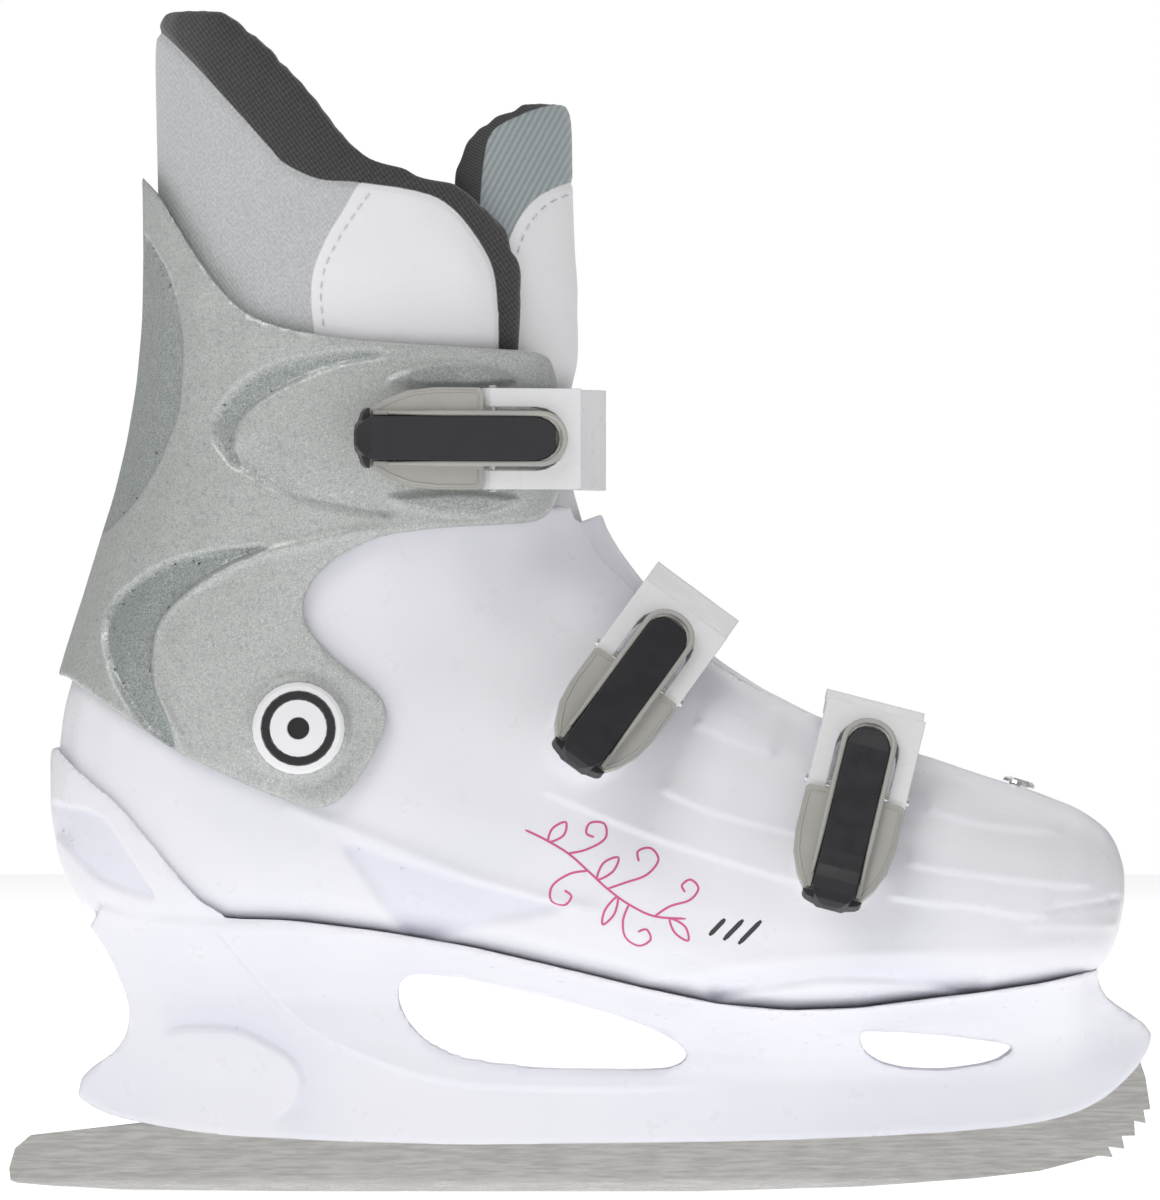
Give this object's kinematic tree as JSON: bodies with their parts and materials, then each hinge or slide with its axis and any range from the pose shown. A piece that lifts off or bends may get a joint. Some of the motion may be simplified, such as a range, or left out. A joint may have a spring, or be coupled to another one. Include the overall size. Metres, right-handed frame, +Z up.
{
  "type": "ice skate",
  "caption": "Hard-shell figure skate with a hinged cuff, padded liner, toe-pick runner in a moulded holder and over-centre latches.",
  "frame": {"origin": "On the ice under the middle of the runner, on the skate's middle plane.", "axes": "+X to the toe, +Y to the inner (medial) side of this right skate, +Z up. The latches are on the -Y side."},
  "size_m": [0.2948, 0.1269, 0.3056],
  "materials": {
    "shell_white": "smooth moulded hard plastic with a soft gloss",
    "cuff_silver": "silver-grey moulded plastic with fine metallic flecks",
    "latch_grey": "warm light-grey moulded plastic",
    "latch_black": "near-black moulded plastic",
    "clip_white": "white moulded plastic",
    "steel": "satin ground steel",
    "rivet": "bright plated steel",
    "liner_grey": "padded light-grey textile with a charcoal knit collar",
    "tongue_grey": "padded ribbed grey textile",
    "insole_grey": "dark felt"
  },
  "bodies": {
    "shell": {"boot_shell": "shell_white", "shell_tongue": "shell_white", "tongue_eyelet": "rivet", "blade_holder": "shell_white", "runner": "steel", "insole": "insole_grey", "liner_boot": "liner_grey", "liner_tongue": "tongue_grey", "sole_rivet_1": "rivet", "sole_rivet_2": "rivet", "sole_rivet_3": "rivet", "sole_rivet_4": "rivet", "pivot_pin_lateral": "rivet", "pivot_pin_medial": "rivet", "base_instep": "latch_grey", "base_rivet_instep": "rivet", "fulcrum_pin_instep": "rivet", "ladder_instep": "clip_white", "ladder_rivet_instep": "rivet", "base_toe": "latch_grey", "base_rivet_toe": "rivet", "fulcrum_pin_toe": "rivet", "ladder_toe": "clip_white", "ladder_rivet_toe": "rivet"},
    "cuff": {"cuff": "cuff_silver", "pivot_cap_lateral": "clip_white", "pivot_cap_medial": "clip_white", "pivot_ring_lateral": "latch_black", "pivot_ring_medial": "latch_black", "base_top": "latch_grey", "base_rivet_top": "rivet", "fulcrum_pin_top": "rivet", "ladder_top": "clip_white", "ladder_rivet_top": "rivet"},
    "lever_top": {"lever_top": "latch_grey", "clip_pin_top": "rivet", "push_pin_top": "rivet"},
    "clip_top": {"clip_top": "clip_white"},
    "push_top": {"push_latch_top": "latch_black"},
    "lever_instep": {"lever_instep": "latch_grey", "clip_pin_instep": "rivet", "push_pin_instep": "rivet"},
    "clip_instep": {"clip_instep": "clip_white"},
    "push_instep": {"push_latch_instep": "latch_black"},
    "lever_toe": {"lever_toe": "latch_grey", "clip_pin_toe": "rivet", "push_pin_toe": "rivet"},
    "clip_toe": {"clip_toe": "clip_white"},
    "push_toe": {"push_latch_toe": "latch_black"}
  },
  "joints": [
    {"name": "cuff_flex", "type": "hinge", "parent": "shell", "child": "cuff", "pos_m": [-0.0718, 0, 0.12], "axis": [0, 1, 0], "range_deg": [-1, 6], "deforming": ["liner_boot", "liner_tongue"]},
    {"name": "lever_open_top", "type": "hinge", "parent": "cuff", "child": "lever_top", "pos_m": [-0.0097, -0.04245, 0.1938], "axis": [0, 0, 1], "range_deg": [0, 75]},
    {"name": "clip_swing_top", "type": "hinge", "parent": "lever_top", "child": "clip_top", "pos_m": [-0.02233, -0.04722, 0.1938], "axis": [0, 0, 1], "range_deg": [-75, 0]},
    {"name": "push_press_top", "type": "hinge", "parent": "lever_top", "child": "push_top", "pos_m": [-0.02887, -0.05434, 0.1938], "axis": [0, 0, 1], "range_deg": [-2, 0], "stiffness_Nm_per_rad": 0.5},
    {"name": "lever_open_instep", "type": "hinge", "parent": "shell", "child": "lever_instep", "pos_m": [0.02159, -0.0352, 0.14279], "axis": [-0.8049, 0, 0.5934], "range_deg": [0, 75]},
    {"name": "clip_swing_instep", "type": "hinge", "parent": "lever_instep", "child": "clip_instep", "pos_m": [0.01517, -0.04327, 0.13408], "axis": [-0.8049, 0, 0.5934], "range_deg": [-75, 0]},
    {"name": "push_press_instep", "type": "hinge", "parent": "lever_instep", "child": "push_instep", "pos_m": [0.0126, -0.05192, 0.13059], "axis": [-0.8049, 0, 0.5934], "range_deg": [-2, 0], "stiffness_Nm_per_rad": 0.5},
    {"name": "lever_open_toe", "type": "hinge", "parent": "shell", "child": "lever_toe", "pos_m": [0.0734, -0.04326, 0.11523], "axis": [-0.9686, 0, 0.2487], "range_deg": [0, 75]},
    {"name": "clip_swing_toe", "type": "hinge", "parent": "lever_toe", "child": "clip_toe", "pos_m": [0.07058, -0.05056, 0.10422], "axis": [-0.9686, 0, 0.2487], "range_deg": [-75, 0]},
    {"name": "push_press_toe", "type": "hinge", "parent": "lever_toe", "child": "push_toe", "pos_m": [0.06935, -0.05888, 0.09946], "axis": [-0.9686, 0, 0.2487], "range_deg": [-2, 0], "stiffness_Nm_per_rad": 0.5}
  ],
  "couplings": [
    {"joint": "clip_swing_top", "follows": "lever_open_top", "ratio": -1},
    {"joint": "clip_swing_instep", "follows": "lever_open_instep", "ratio": -1},
    {"joint": "clip_swing_toe", "follows": "lever_open_toe", "ratio": -1}
  ]
}
